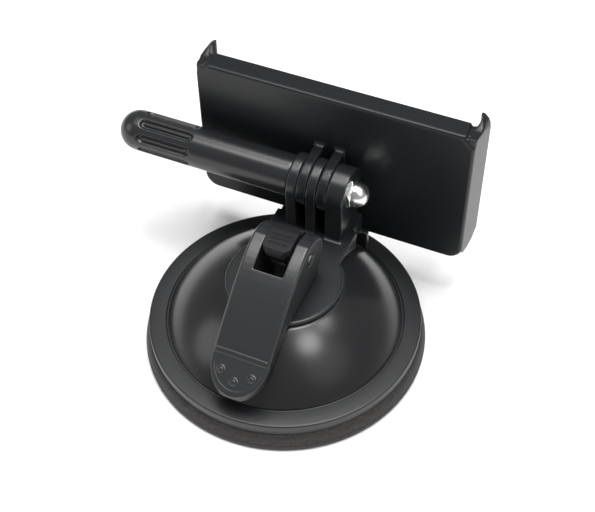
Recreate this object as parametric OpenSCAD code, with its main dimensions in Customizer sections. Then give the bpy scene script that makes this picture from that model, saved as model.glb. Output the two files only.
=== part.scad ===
// Suction-cup vehicle mount: lever-locked cup, swivelling three-finger fork, clamp handle and tilting cradle.
// Millimetres. Origin at the cup's centre on the surface it grips, +X along the clamp screw,
// -Y towards the lever, +Z away from the surface.

/* [Suction cup] */
// Radius of the rubber cup at its widest
cup_r = 42; // [34:1:52]
// Height of the rubber rim
rim_h = 5.9; // [4.5:0.1:8]
// Radial width of the rim's flat top and sealing lip
rim_w = 4.6; // [3.5:0.1:6]
// Thickness of the rubber membrane
membrane_t = 2.2; // [1.6:0.1:3]
// Hollow under the middle of the cup when it is drawn up
cup_hollow = 3.0; // [2.6:0.1:3.8]
// Radius of the hard disc moulded into the cup
insert_r = 11; // [9:0.5:14]

/* [Base shell] */
// How far the rubber stands out past the shell
rim_overhang = 1.6; // [0.5:0.1:3]
// Height of the shell's flat ring above the surface
ring_z = 9.85; // [8:0.05:13]
// Width of the flat ring around the dome
ring_w = 5.8; // [4:0.1:8]
// Rise of the full dome above the ring
dome_h = 18.45; // [14:0.05:22]
// Wall of the shell
shell_wall = 2.4; // [1.8:0.1:3]
// Gap between shell and rubber rim
rim_gap = 0.05; // [0.02:0.01:0.3]

/* [Swivel] */
// Radius of the swivelling disc
turret_r = 17; // [14:0.5:20]
// Flat left on the dome around the disc
seat_margin = 0.6; // [0.3:0.1:2]
// Thickness of the swivelling disc
disc_t = 1.4; // [1.2:0.1:3]
// Thickness of the slip washer
washer_t = 0.6; // [0.4:0.1:1]
// Depth of the washer's recess in the shell
washer_seat = 0.5; // [0.3:0.1:0.9]
// Radius of the hub through the shell
hub_r = 9; // [7.5:0.5:11]
// Clearance of running fits, radial
run_gap = 0.06; // [0.02:0.01:0.1]
// Clearance between faces that pass each other
face_gap = 0.1; // [0.05:0.05:0.3]
// Clearance of the arm over the dome
dome_gap = 0.5; // [0.3:0.1:1]
// Thickness of the ring under the hub
keeper_t = 2.2; // [1.6:0.1:3]

/* [Arm and fork] */
// Half width of the arm
arm_half_w = 12.8; // [11:0.1:16]
// Thickness of the block under the fork
block_t = 6.4; // [4:0.1:8]
// Width left beside the fork on its block
block_side = 1.6; // [0.5:0.1:3]
// Front face of the fork's block, ahead of the screw axis
block_lead = 1.9; // [0.5:0.1:4]
// Half width of the apron behind the fork
apron_half_w = 14.2; // [12:0.1:18]
// Thickness of the apron
apron_t = 1.8; // [1.2:0.1:3]
// Top of the apron below the deck
apron_drop = 5.8; // [3:0.1:8]
// Clamp screw's distance in from the shell's edge
axis_inset = 14.1; // [10:0.1:16]
// Clamp screw's height above the deck
axis_h = 13.7; // [11:0.1:18]
// Width of one fork finger
finger_t = 3.0; // [2.6:0.1:3.2]
// Gap between two fork fingers
finger_gap = 3.2; // [3:0.1:3.4]
// Radius of the finger ends
finger_r = 7.5; // [7:0.1:8]
// Extra width of the finger that holds the nut
nut_boss = 2.3; // [1.5:0.1:4]
// Fork's rear foot, from the screw axis
fork_foot = 5.7; // [4:0.1:7]
// Fillet at the fingers' front feet
foot_fillet = 1.0; // [0.5:0.1:2]

/* [Clamp screw] */
// Diameter of the clamp screw
screw_d = 5; // [4:0.5:6]
// Nut width across flats
nut_af = 8; // [7:0.5:10]
// Height of the nut's hexagon
nut_h = 4.2; // [3:0.1:6]
// How far the hexagon stands out of its pocket
nut_proud = 0.9; // [0:0.1:2]
// Length of the straight neck under the nut's dome
nut_neck = 0.8; // [0:0.1:3]
// Radius of the handle
handle_r = 6.2; // [5:0.1:9]
// Length of the handle
handle_l = 57.3; // [40:0.1:80]
// Depth of the screw inside the handle
screw_depth = 22; // [12:1:34]
// Number of grip recesses
grip_count = 8; // [4:1:10]
// Length of a grip recess
grip_l = 18; // [10:1:30]
// Distance from a grip recess to the handle's round end
grip_end = 1.3; // [1.2:0.1:10]
// Radius of the tool that cuts a grip recess
grip_cut_r = 1.75; // [1:0.05:2.5]

/* [Lever] */
// Half width of the lever
lever_half_w = 8.5; // [7.5:0.1:10]
// Half width of the slot between the cheeks
slot_half_w = 4.45; // [4:0.05:5.5]
// Height of the pivot above the deck when locked
cam_r = 11.5; // [9:0.1:14]
// How far the cams let the stud drop when the lever opens
cam_drop = 2.5; // [1.5:0.1:3]
// Clearance of the cams over the deck
cam_gap = 0.05; // [0.02:0.01:0.1]
// Front edge of the slot, ahead of the pivot
slot_front = 10.3; // [8:0.1:14]
// End of the lever's straight part, ahead of the pivot
lever_reach = 29.5; // [24:0.5:36]
// Height of the lever's top above the dome at that reach
lever_lift = 7.8; // [6:0.1:10]
// Top skin of the lever
skin_t = 2.4; // [1.6:0.1:3]
// Side wall of the lever
side_t = 2.2; // [1.4:0.1:3]
// Length of the rounded thumb pad
pad_l = 8.5; // [6:0.1:12]
// Thickness of the thumb pad
pad_t = 2.4; // [1.6:0.1:4]
// Step down onto the thumb pad
pad_step = 0.8; // [0.3:0.1:1.5]
// Drop of the pad along its length
pad_fall = 5.8; // [3:0.1:8]
// Edge bevel of the lever
lever_bevel = 0.5; // [0.2:0.1:1]
// Diameter of the pivot pin
pin_d = 3; // [2.5:0.1:4]

/* [Lock slider] */
// Length of the slider ahead of the pivot
lock_front = 6.5; // [4:0.1:8]
// Length of the slider's feet behind the pivot
lock_back = 6.9; // [5:0.1:7.4]
// How much sooner the slider's top ends than its feet
lock_top_back = 1.4; // [1:0.1:2]
// Travel of the slider
lock_travel = 1.6; // [1:0.1:2]
// Side clearance of the slider in its slot
lock_gap = 0.25; // [0.1:0.05:0.4]
// Height of the slider's top above the pivot
lock_top = 6.9; // [6:0.1:8]
// Thickness of the slider's feet
lock_foot_t = 1.4; // [1:0.1:2]
// Depth of the slider's feet below the pivot
lock_foot_drop = 1.4; // [0.5:0.1:3]

/* [Pull stud] */
// Radius of the round shank
stud_r = 3.4; // [3:0.1:4.5]
// Half thickness of the flat blade
blade_half_t = 2.2; // [1.6:0.1:2.6]
// Radius of the stud's eye
eye_r = 3.9; // [3:0.1:4]
// Radius of the stud's foot
stud_foot_r = 5.0; // [4.5:0.1:7]
// Thickness of the stud's foot
stud_foot_t = 2.5; // [2:0.1:4]

/* [Cradle] */
// Width of the back plate
tray_w = 84.9; // [60:0.5:120]
// Height of the back plate above the screw
tray_up = 25.5; // [18:0.1:40]
// Height of the back plate below the screw
tray_down = 23.9; // [18:0.1:24.5]
// Back plate's distance from the screw axis
tray_y = 7.9; // [7.8:0.1:12]
// Thickness of plate and walls
tray_t = 2.2; // [1.6:0.1:3]
// Depth of the side walls
wall_d = 11.2; // [8:0.1:20]
// Outward lean of the side walls over their depth
wall_flare = 1.3; // [0:0.1:3]
// Depth of the top and bottom ledges
ledge_d = 6.6; // [4:0.1:12]
// Distance from the plate's end to the top ledge's raised end
ledge_inset = 3.2; // [2:0.1:8]
// Step down at the top ledge's ends
ledge_step = 0.9; // [0.4:0.1:1.5]
// Height of the corner ears above the plate
ear_h = 0.9; // [0:0.1:3]
// Chamfer of the plate's top corners
corner_cut = 2.7; // [1:0.1:6]
// Radius of the plate's bottom corners
corner_r = 4.5; // [2:0.1:8]
// Thickness of the grip pads
grip_pad_t = 1.0; // [0.5:0.1:1.5]

/* [Hidden] */
$fn = 96;
e = 0.01;

shell_r = cup_r - rim_overhang;
dome_r = shell_r - ring_w;
curve_r = (dome_r * dome_r + dome_h * dome_h) / (2 * dome_h);
curve_z = ring_z + dome_h - curve_r;
function dome_z(r) = curve_z + sqrt(curve_r * curve_r - r * r);
// points of a sphere about the dome's centre, from radius r0 out to radius r1
function dome_arc(sphere_r, r0, r1, steps) = [for (i = [0:steps]) let (t0 = asin(r0 / sphere_r),
    t = t0 + (asin(r1 / sphere_r) - t0) * i / steps)
    [sphere_r * sin(t), curve_z + sphere_r * cos(t)]];
seat_r = turret_r + seat_margin;
shelf_z = dome_z(seat_r);
disc_z = shelf_z - washer_seat + washer_t + run_gap;
deck_z = disc_z + disc_t;
pin_z = deck_z + cam_r;
lever_fall = pin_z - dome_z(lever_reach) - lever_lift;
washer_r = turret_r - 0.7;

// screw axis
axis_y = shell_r - axis_inset;
block_y = axis_y - block_lead;
axis_z = deck_z + axis_h;
fork_left = -(1.5 * finger_t + finger_gap);
fork_right = -fork_left + nut_boss;
pitch = finger_t + finger_gap;
block_half_w = fork_right + block_side;
block_end = axis_y + fork_foot;
handle_x = fork_left - face_gap;
nut_x = fork_right + nut_proud - nut_h;
nut_dome_r = nut_af / 2 - 0.25;

// hub and keeper
boss_z = shelf_z - washer_seat - 3.3;
hub_z = boss_z - face_gap;
keeper_z = hub_z - keeper_t;
hub_screw_pcr = 6.9;
hub_screw_r = 1;
hub_screw_l = 5;

// cup centre, stacked up from the membrane
cup_top = cup_hollow + membrane_t;
flange_t = 1.6;
socket_z = cup_top + flange_t + 0.2;
stud_z = socket_z + face_gap;
socket_h = stud_foot_t + 2 * face_gap;
cap_z = socket_z + socket_h;
cap_t = 2.4;
insert_hub_r = stud_foot_r + 2.5;
blade_z = keeper_z + 3.2;

// lever
pad_top = -lever_fall - pad_step;
cam_step = 6;
lock_seat = eye_r + 0.25;
lock_knee = 2.6;
lock_rear = lock_back - lock_top_back;
catch_y = max(norm([lock_rear, lock_top - 1.7]), norm([lock_back, lock_knee]), norm([lock_back,
    lock_foot_drop])) + 0.25;

// cradle
plate_y = axis_y + tray_y;
tray_top = axis_z + tray_up;
tray_low = axis_z - tray_down;
half_w = tray_w / 2;

module along_x(x0, x1) translate([x0, 0, 0]) rotate([90, 0, 90]) linear_extrude(x1 - x0) children();
module along_y(y0, y1) translate([0, y1, 0]) rotate([90, 0, 0]) linear_extrude(y1 - y0) children();
module ring(r0, r1, z0, h) translate([0, 0, z0]) difference() {
    cylinder(r = r1, h = h);
    translate([0, 0, -1]) cylinder(r = r0, h = h + 2);
}
module both_sides() {
    children();
    mirror([1, 0, 0]) children();
}

// ---- cup and its centre ----

module suction_cup() color([0.12, 0.11, 0.11]) {
    lip = cup_r - rim_w;
    rotate_extrude($fn = 160) polygon([[0, cup_hollow], [insert_r + 3, cup_hollow], [lip - 12,
        cup_hollow * 0.72],
        [lip - 4, cup_hollow * 0.3], [lip, 0], [cup_r - 0.5, 0], [cup_r - 0.12, 0.45], [cup_r, 1.2],
        [cup_r - 0.1, rim_h * 0.42], [cup_r - 0.45, rim_h * 0.66], [cup_r - 1.1, rim_h * 0.88],
        [cup_r - 1.9, rim_h], [lip - 0.6, rim_h], [lip - 2, rim_h * 0.72], [lip - 12, cup_top - 0.5],
        [insert_r + 3, cup_top], [insert_r + 2, cup_top + flange_t + 1.4], [insert_hub_r + 0.1,
            cup_top + flange_t + 1.4],
        [insert_hub_r + 0.1, cup_top + flange_t], [insert_r, cup_top + flange_t], [insert_r, cup_top],
            [0, cup_top]]);
}

module cup_insert() color([0.2, 0.2, 0.21]) difference() {
    union() {
        translate([0, 0, cup_top]) cylinder(r = insert_r, h = flange_t);
        translate([0, 0, cup_top]) cylinder(r = insert_hub_r, h = cap_z - cup_top);
    }
    translate([0, 0, socket_z]) cylinder(r = stud_foot_r + 0.2, h = cap_z - socket_z + 1);
    for (a = [30:60:330]) rotate(a) translate([insert_r - 1.8, 0, cup_top - 1]) cylinder(r = 0.9,
        h = flange_t + 2, $fn = 24);
}

module insert_cap() color([0.3, 0.3, 0.31]) difference() {
    union() {
        translate([0, 0, cap_z]) cylinder(r = insert_hub_r, h = cap_t - 0.6);
        translate([0, 0, cap_z + cap_t - 0.6]) cylinder(r1 = insert_hub_r, r2 = insert_hub_r - 0.6, h = 0.6);
    }
    translate([0, 0, cap_z - 1]) cylinder(r = stud_r + run_gap, h = cap_t + 2);
}

module pull_stud() color([0.6, 0.61, 0.63]) difference() {
    union() {
        translate([0, 0, stud_z]) cylinder(r = stud_foot_r, h = stud_foot_t);
        translate([0, 0, stud_z]) cylinder(r = stud_r, h = blade_z - stud_z);
        intersection() {
            translate([-blade_half_t, -stud_r, blade_z - e]) cube([2 * blade_half_t, 2 * stud_r,
                pin_z - blade_z]);
            translate([0, 0, blade_z - 1]) cylinder(r = stud_r, h = pin_z);
        }
        translate([-blade_half_t, 0, pin_z]) rotate([0, 90, 0]) cylinder(r = eye_r, h = 2 * blade_half_t);
    }
    translate([-blade_half_t - 1, 0, pin_z]) rotate([0, 90, 0]) cylinder(r = pin_d / 2 + run_gap,
        h = 2 * blade_half_t + 2);
}

module return_spring() color([0.7, 0.7, 0.72]) {
    wire = 0.4;
    coil_r = stud_r + 1.0;
    z0 = cap_z + cap_t + wire;
    z1 = keeper_z - wire;
    turns = 3.5;
    steps = 64;
    sides = 8;
    points = [for (i = [0:steps]) let (a = 360 * turns * i / steps, z = z0 + (z1 - z0) * i / steps)
        for (j = [0:sides - 1]) let (b = 360 * j / sides, r = coil_r + wire * cos(b))
            [r * cos(a), r * sin(a), z + wire * sin(b)]];
    walls = [for (i = [0:steps - 1]) for (j = [0:sides - 1]) let (k = (j + 1) % sides)
        [i * sides + j, i * sides + k, (i + 1) * sides + k, (i + 1) * sides + j]];
    first = [[for (j = [sides - 1:-1:0]) j]];
    last = [[for (j = [0:sides - 1]) steps * sides + j]];
    polyhedron(points = points, faces = concat(first, walls, last), convexity = 10);
}

// ---- base shell and swivel ----

module base_shell() color([0.05, 0.05, 0.055]) {
    wall_foot = rim_h + rim_gap;
    inner_r = curve_r - shell_wall;
    ceiling = shelf_z - washer_seat - 2.2;
    floor_r = sqrt(inner_r * inner_r - pow(ring_z - shell_wall - curve_z, 2));
    flat_r = sqrt(inner_r * inner_r - pow(ceiling - curve_z, 2));
    rotate_extrude($fn = 160) polygon(concat(
        [[hub_r + run_gap, shelf_z - washer_seat], [washer_r + 0.2, shelf_z - washer_seat],
            [washer_r + 0.2, shelf_z]],
        dome_arc(curve_r, seat_r, dome_r, 24),
        [[dome_r, ring_z - 0.6], [dome_r + 0.7, ring_z - 0.6], [dome_r + 0.7, ring_z - 0.2],
            [dome_r + 0.9, ring_z],
        [shell_r - 0.6, ring_z], [shell_r, ring_z - 0.6], [shell_r, wall_foot + 0.3], [shell_r - 0.3,
            wall_foot],
        [shell_r - 2.8, wall_foot], [shell_r - 2.8, ring_z - shell_wall]],
        dome_arc(inner_r, floor_r, flat_r, 18),
        [[hub_r + 5, ceiling], [hub_r + 4.4, boss_z], [hub_r + run_gap, boss_z]]));
}

module swivel_washer() color([0.85, 0.85, 0.82]) ring(hub_r + 0.2, washer_r, shelf_z - washer_seat, washer_t);

module finger_side() {
    corner = [fork_foot, -axis_h - e];
    a = atan2(corner[1], corner[0]) + acos(finger_r / norm(corner));
    translate([axis_y, axis_z]) {
        circle(r = finger_r);
        polygon([[-finger_r, 0], [-finger_r, -axis_h - e], corner, [finger_r * cos(a),
            finger_r * sin(a)], [0, 0]]);
        translate([-finger_r, -axis_h]) polygon([[e, -e], [-foot_fillet, -e], [-foot_fillet * 0.42,
            foot_fillet * 0.3],
            [-foot_fillet * 0.12, foot_fillet * 0.7], [e, foot_fillet * 1.5]]);
    }
}

module turret_fork() color([0.07, 0.07, 0.075]) difference() {
    union() {
        translate([0, 0, disc_z]) cylinder(r = turret_r, h = disc_t - 0.35, $fn = 160);
        translate([0, 0, deck_z - 0.35]) cylinder(r1 = turret_r, r2 = turret_r - 0.35, h = 0.35, $fn = 160);
        translate([0, 0, hub_z]) cylinder(r = hub_r, h = disc_z - hub_z + e);
        difference() {
            union() {
                translate([-arm_half_w, 0, disc_z - 12]) cube([2 * arm_half_w, block_y,
                    deck_z - disc_z + 12]);
                translate([-block_half_w, block_y - 1, deck_z - block_t]) cube([2 * block_half_w,
                    block_end - block_y + 1, block_t]);
                translate([-apron_half_w, block_end - 0.6 - apron_t, ring_z + 2])
                    cube([2 * apron_half_w, apron_t, deck_z - apron_drop - ring_z - 2]);
            }
            arm_clearance();
        }
        along_x(fork_left, fork_left + finger_t) finger_side();
        along_x(fork_left + pitch, fork_left + pitch + finger_t) finger_side();
        along_x(fork_left + 2 * pitch, fork_right) finger_side();
        along_x(-slot_half_w + lock_gap, slot_half_w - lock_gap) polygon([[catch_y, deck_z - e],
            [catch_y, pin_z - lock_foot_drop - face_gap], [catch_y + 1.6, pin_z - lock_foot_drop - face_gap],
            [catch_y + 4.5, deck_z + 3], [catch_y + 6.5, deck_z - e]]);
    }
    translate([0, 0, hub_z - 1]) cylinder(r = stud_r + run_gap, h = blade_z + 0.5 - hub_z + 1);
    intersection() {
        translate([-blade_half_t - run_gap, -stud_r - 1, hub_z]) cube([2 * (blade_half_t + run_gap),
            2 * stud_r + 2, deck_z - hub_z + 1]);
        translate([0, 0, hub_z]) cylinder(r = stud_r + run_gap, h = deck_z - hub_z + 1);
    }
    for (a = [90:120:330]) rotate(a) translate([hub_screw_pcr, 0, hub_z - 1]) cylinder(r = hub_screw_r,
        h = hub_screw_l - keeper_t + 2.4, $fn = 24);
    translate([fork_left - 1, axis_y, axis_z]) rotate([0, 90, 0]) cylinder(r = screw_d / 2 + run_gap,
        h = fork_right - fork_left + 2);
    translate([nut_x, axis_y, axis_z]) rotate([0, 90, 0]) cylinder(r = (nut_af / 2 + 0.04) / cos(30),
        h = nut_h + 1, $fn = 6);
}

module arm_clearance() {
    rotate_extrude($fn = 160) polygon(concat([[0, 0], [0, disc_z], [seat_r, disc_z]],
        dome_arc(curve_r + dome_gap, seat_r, sqrt(pow(curve_r + dome_gap,
            2) - pow(ring_z + dome_gap - curve_z, 2)), 24),
        [[shell_r + 8, ring_z + dome_gap], [shell_r + 8, 0]]));
}

module hub_keeper() color([0.55, 0.56, 0.58]) difference() {
    translate([0, 0, keeper_z]) cylinder(r = hub_r + 3, h = keeper_t);
    translate([0, 0, keeper_z - 1]) cylinder(r = stud_r + run_gap + 0.2, h = keeper_t + 2);
    for (a = [90:120:330]) rotate(a) translate([hub_screw_pcr, 0, keeper_z]) {
        translate([0, 0, -1]) cylinder(r = hub_screw_r, h = keeper_t + 2, $fn = 24);
        translate([0, 0, -1]) cylinder(r = hub_screw_r + 0.75, h = 2.2, $fn = 32);
    }
}

module hub_screws() color([0.7, 0.7, 0.72]) for (a = [90:120:330]) rotate(a) translate([hub_screw_pcr,
    0, keeper_z + 0.1]) {
    difference() {
        cylinder(r = hub_screw_r + 0.7, h = 1.1, $fn = 32);
        for (b = [0, 90]) rotate(b) translate([-1.1, -0.2, -1]) cube([2.2, 0.4, 1.6]);
    }
    translate([0, 0, 1]) cylinder(r = hub_screw_r, h = hub_screw_l - 1, $fn = 24);
}

// ---- lever ----

function bezier(a, b, c, t) = (1 - t) * (1 - t) * a + 2 * t * (1 - t) * b + t * t * c;
function cam_point(q) = let (h = cam_r - cam_gap - cam_drop * q / 90, s = -cam_drop / 90 * 180 / PI)
    [h * sin(q) + s * cos(q), -h * cos(q) + s * sin(q)];
function lever_top(t) = bezier([-1, 5.7], [-10.5, 4.2], [-lever_reach, -lever_fall], t);

module lever_side() {
    cams = [for (q = [0:cam_step:90]) cam_point(q)];
    crown = [for (i = [0:16]) lever_top(i / 16)];
    rear = cam_r - cam_gap - cam_drop;
    polygon(concat(cams, [[rear * 0.93, 0.8], [rear * 0.77, 2.6], [rear * 0.51, 4.3], [rear * 0.2,
        5.35]], crown,
        [[-lever_reach - 1, pad_top - 1.6], [-lever_reach, -lever_fall - skin_t - 1.6],
            [-lever_reach + 1.5, -lever_fall - 3.1],
        [-20, -cam_r - 1.6], [-turret_r - 0.5, -cam_r - 1], [-turret_r - 0.5, -cam_r + 2 * cam_gap],
            [-12.5, -cam_r + cam_gap]]));
}

module lever_hollow() {
    under = [for (i = [6:15]) lever_top(i / 16) - [0.5 * skin_t, 0.87 * skin_t]];
    polygon(concat([[-slot_front - side_t, -cam_r - 8], [-slot_front - side_t, under[0][1] - 1]],
        [for (p = under) if (p[0] < -slot_front - side_t) p], [[-lever_reach + 1.2, -cam_r - 8]]));
}

module pad_plan() {
    hull_r = lever_half_w;
    translate([0, -lever_reach]) scale([1, pad_l / hull_r]) circle(r = hull_r);
    translate([-lever_half_w, -lever_reach - e]) square([2 * lever_half_w, 2]);
}

module pad_side() {
    polygon([[-lever_reach + 1.5, pad_top + 0.2], [-lever_reach + 0.1, pad_top + 0.2],
        [-lever_reach - 0.6, pad_top - 0.2],
        [-lever_reach - pad_l + 0.6, pad_top - pad_fall + 0.45], [-lever_reach - pad_l,
            pad_top - pad_fall - 0.15],
        [-lever_reach - pad_l - 0.1, pad_top - pad_fall - 1], [-lever_reach - pad_l + 0.7,
            pad_top - pad_fall - pad_t + 0.3],
        [-lever_reach, pad_top - pad_t - 0.5], [-lever_reach + 1.5, pad_top - pad_t]]);
}

module lever() color([0.28, 0.28, 0.29]) translate([0, 0, pin_z]) difference() {
    union() {
        minkowski() {
            along_x(-lever_half_w + lever_bevel, lever_half_w - lever_bevel)
                offset(delta = -lever_bevel) lever_side();
            union() {
                rotate([0, 90, 0]) cylinder(r1 = lever_bevel, r2 = 0, h = lever_bevel, $fn = 8);
                rotate([0, -90, 0]) cylinder(r1 = lever_bevel, r2 = 0, h = lever_bevel, $fn = 8);
            }
        }
        intersection() {
            along_x(-lever_half_w, lever_half_w) pad_side();
            translate([0, 0, -60]) linear_extrude(120) pad_plan();
        }
        for (x = [-4.6, 0, 4.6]) translate([x, -lever_reach - pad_l * (x == 0 ? 0.62 : 0.4),
            pad_top - pad_fall * (x == 0 ? 0.62 : 0.4)])
            rotate([atan(pad_fall / pad_l), 0, 0]) cylinder(r1 = 1.3, r2 = 0.7, h = 0.75, $fn = 40);
    }
    translate([-slot_half_w, -slot_front, -30]) cube([2 * slot_half_w, slot_front + 20, 60]);
    along_x(-lever_half_w + side_t, lever_half_w - side_t) lever_hollow();
    translate([-lever_half_w - 1, 0, 0]) rotate([0, 90, 0]) cylinder(r = pin_d / 2, h = 2 * lever_half_w + 2);
    both_sides() translate([lever_half_w - 0.5, 0, 0]) rotate([0, 90, 0]) cylinder(r = pin_d / 2 + 0.45,
        h = 1);
    translate([-slot_half_w - 0.85, -4.7, 2.3]) cube([2 * slot_half_w + 1.7, 2.4 + 4.7 + lock_travel, 1.2]);
}

module pivot_pin() color([0.75, 0.76, 0.78]) translate([0, 0, pin_z]) rotate([0, 90, 0]) {
    translate([0, 0, -lever_half_w + 0.6]) cylinder(r = pin_d / 2, h = 2 * lever_half_w - 1.2);
    both_ends() translate([0, 0, lever_half_w - 0.6]) cylinder(r1 = pin_d / 2, r2 = pin_d / 2 - 0.35,
        h = 0.35);
}
module both_ends() {
    children();
    mirror([0, 0, 1]) children();
}

module lock_slider() color([0.2, 0.2, 0.21]) translate([0, 0, pin_z]) {
    w = slot_half_w - lock_gap;
    difference() {
        along_x(-w, w) polygon([[-lock_front, lock_seat], [-lock_front, lock_top - 1.2],
            [-lock_front + 0.9, lock_top - 0.35],
            [-2, lock_top], [1.6, lock_top], [lock_rear - 1.7, lock_top - 0.5], [lock_rear,
                lock_top - 1.7], [lock_rear, lock_seat]]);
        both_sides() translate([w, -lock_front, 0]) rotate(45) translate([-1.5, -1.5, 0]) cube([3, 3, 20]);
        both_sides() translate([w, lock_rear, lock_seat + 0.6]) rotate(45) translate([-1.5, -1.5, 0])
            cube([3, 3, 20]);
        for (y = [-3.4, -1.9, -0.4]) translate([-w + 1.6, y - 0.3, lock_top - 0.35]) cube([2 * w - 3.2,
            0.6, 2]);
    }
    both_sides() {
        along_x(blade_half_t + 0.25, w) polygon([[lock_back - lock_foot_t, -lock_foot_drop], [lock_back,
            -lock_foot_drop],
            [lock_back, lock_knee], [lock_rear, lock_seat + 0.2], [lock_rear - 2, lock_seat + 0.2],
                [lock_back - lock_foot_t, lock_knee - 0.6]]);
        translate([w - 0.8, -4.5, 2.0]) cube([0.8, 6.8, lock_seat - 2.0 + 0.2]);
        translate([w - 0.2, -4.5, 2.4]) cube([1.0, 6.8, 1.0]);
    }
}

// ---- clamp ----

module grip_cut() rotate_extrude($fn = 32) polygon(concat([[0, -grip_cut_r * 0.8]],
    [for (q = [-60:15:0]) [grip_cut_r * cos(q), grip_cut_r * sin(q) * 0.92]],
    [for (q = [0:15:60]) [grip_cut_r * cos(q), grip_l + grip_cut_r * sin(q) * 0.92]], [[0,
        grip_l + grip_cut_r * 0.8]]));

module clamp_handle() color([0.06, 0.06, 0.065]) {
    tip = handle_l - handle_r;
    grip_z = tip - grip_l - grip_end;
    translate([handle_x, axis_y, axis_z]) rotate([0, -90, 0]) {
        difference() {
            union() {
                cylinder(r1 = handle_r - 0.5, r2 = handle_r, h = 0.5);
                translate([0, 0, 0.5]) cylinder(r = handle_r, h = tip - 0.5);
                translate([0, 0, tip]) rotate_extrude() polygon(concat([[0, -1], [handle_r - 0.4, -1]],
                    [for (q = [0:6:84]) [handle_r * cos(q), handle_r * sin(q)]], [[0, handle_r]]));
            }
            translate([0, 0, -1]) cylinder(r = screw_d / 2, h = screw_depth + 1);
            translate([0, 0, screw_depth - 7]) cylinder(r = screw_d / 2 + 1.1, h = 7);
            for (k = [0:grip_count - 1]) rotate(360 * (k + 0.5) / grip_count)
                translate([handle_r + 0.75, 0, grip_z]) grip_cut();
        }
        for (k = [0:grip_count - 1]) rotate(360 * (k + 0.5) / grip_count)
            translate([handle_r - 0.93, 0, grip_z + 1]) cylinder(r = 0.4, h = grip_l - 2, $fn = 20);
    }
}

module clamp_screw() color([0.72, 0.73, 0.75]) translate([handle_x, axis_y, axis_z]) rotate([0, 90, 0]) {
    translate([0, 0, -screw_depth]) cylinder(r = screw_d / 2,
        h = screw_depth - handle_x + fork_right + nut_proud + 1.6);
    translate([0, 0, -screw_depth]) cylinder(r = screw_d / 2 + 1.1, h = 7);
}

module acorn_nut() color([0.8, 0.81, 0.83]) translate([nut_x, axis_y, axis_z]) rotate([0, 90, 0])
    difference() {
    union() {
        intersection() {
            cylinder(r = nut_af / 2 / cos(30), h = nut_h, $fn = 6);
            translate([0, 0, nut_h - 3]) cylinder(r1 = nut_af / 2 + 3, r2 = nut_af / 2 - 0.02, h = 3,
                $fn = 64);
        }
        cylinder(r = nut_dome_r - 0.2, h = nut_h + 0.3);
        translate([0, 0, nut_h]) cylinder(r = nut_dome_r, h = nut_neck);
        intersection() {
            translate([0, 0, nut_h + nut_neck]) sphere(r = nut_dome_r);
            translate([0, 0, nut_h + nut_neck - e]) cylinder(r = nut_dome_r + 1, h = nut_dome_r + 1);
        }
    }
    translate([0, 0, -1]) cylinder(r = screw_d / 2 + run_gap, h = nut_h + nut_neck + 2.6);
}

// ---- cradle ----

module plate_outline() {
    difference() {
        translate([-half_w, tray_low]) square([tray_w, tray_top - tray_low]);
        both_sides() {
            translate([half_w, tray_top]) rotate(45) square([2 * corner_cut, corner_cut * 1.4142],
                center = true);
            translate([half_w - corner_r, tray_low - e]) difference() {
                square([corner_r + e, corner_r + e]);
                translate([0, corner_r + e]) circle(r = corner_r);
            }
        }
    }
}

module tray_wall() {
    out = half_w + wall_flare;
    far = plate_y + wall_d;
    ear = tray_top + ear_h;
    intersection() {
        translate([0, 0, tray_low]) linear_extrude(tray_top - tray_low + ear_h)
            polygon([[half_w - tray_t, plate_y + tray_t - e],
            [half_w - tray_t, plate_y + 0.6], [half_w, plate_y + 0.6], [out, far - 0.5], [out - 0.5,
                far], [out - tray_t - 0.9, far],
            [out - tray_t - 0.9, far - 1.1], [out - wall_flare * 0.15 - tray_t, far - 2]]);
        along_x(0, out + 1) polygon([[plate_y, tray_low + corner_r], [plate_y + 2, tray_low + 1.4],
            [plate_y + 5, tray_low + 1],
            [far - 3, tray_low + 2.2], [far - 0.6, tray_low + 4.4], [far, tray_low + 7], [far,
                ear - 0.3], [far - 0.4, ear],
            [far - 1.6, ear], [far - 3.2, ear - 0.3], [far - 4.8, tray_top - ledge_step + 0.5],
                [far - 6.5, tray_top - ledge_step],
            [plate_y, tray_top - ledge_step]]);
        along_y(plate_y - 1, far + 1) polygon([[0, tray_low - 1], [out + 1, tray_low - 1], [out + 1,
            tray_top - 3.4],
            [out, tray_top - 3.4], [out - 0.25, tray_top - 2], [out - 0.9, tray_top - 0.6], [out - 1.9,
                ear - 0.5],
            [out - 2.8, ear + e], [0, ear + e]]);
    }
}

module cradle_tray() color([0.055, 0.055, 0.06]) difference() {
    union() {
        along_y(plate_y + 0.5, plate_y + tray_t) plate_outline();
        along_y(plate_y, plate_y + 0.5 + e) offset(delta = -0.4) plate_outline();
        both_sides() tray_wall();
        translate([-half_w + ledge_inset, plate_y + tray_t - e, tray_top - 2])
            cube([tray_w - 2 * ledge_inset, ledge_d - tray_t, 2]);
        translate([-half_w + tray_t - 0.2, plate_y + tray_t - e, tray_top - 2.4])
            cube([tray_w - 2 * tray_t + 0.4, ledge_d - tray_t, 2.4 - ledge_step]);
        translate([-half_w + corner_r, plate_y + tray_t - e, tray_low]) cube([tray_w - 2 * corner_r,
            ledge_d - tray_t, 2]);
        for (x = [-pitch / 2, pitch / 2]) along_x(x - finger_gap / 2 + face_gap,
            x + finger_gap / 2 - face_gap)
            translate([axis_y, axis_z]) {
                circle(r = finger_r);
                translate([0, -finger_r]) square([tray_y + 0.6, 2 * finger_r]);
                translate([tray_y + e, finger_r - e]) polygon([[0, 0], [-1, 0], [-0.3, 0.3], [0, 1]]);
                translate([tray_y + e, -finger_r + e]) polygon([[0, 0], [-1, 0], [-0.3, -0.3], [0, -1]]);
            }
    }
    translate([-20, axis_y, axis_z]) rotate([0, 90, 0]) cylinder(r = screw_d / 2 + run_gap, h = 40);
}

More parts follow.
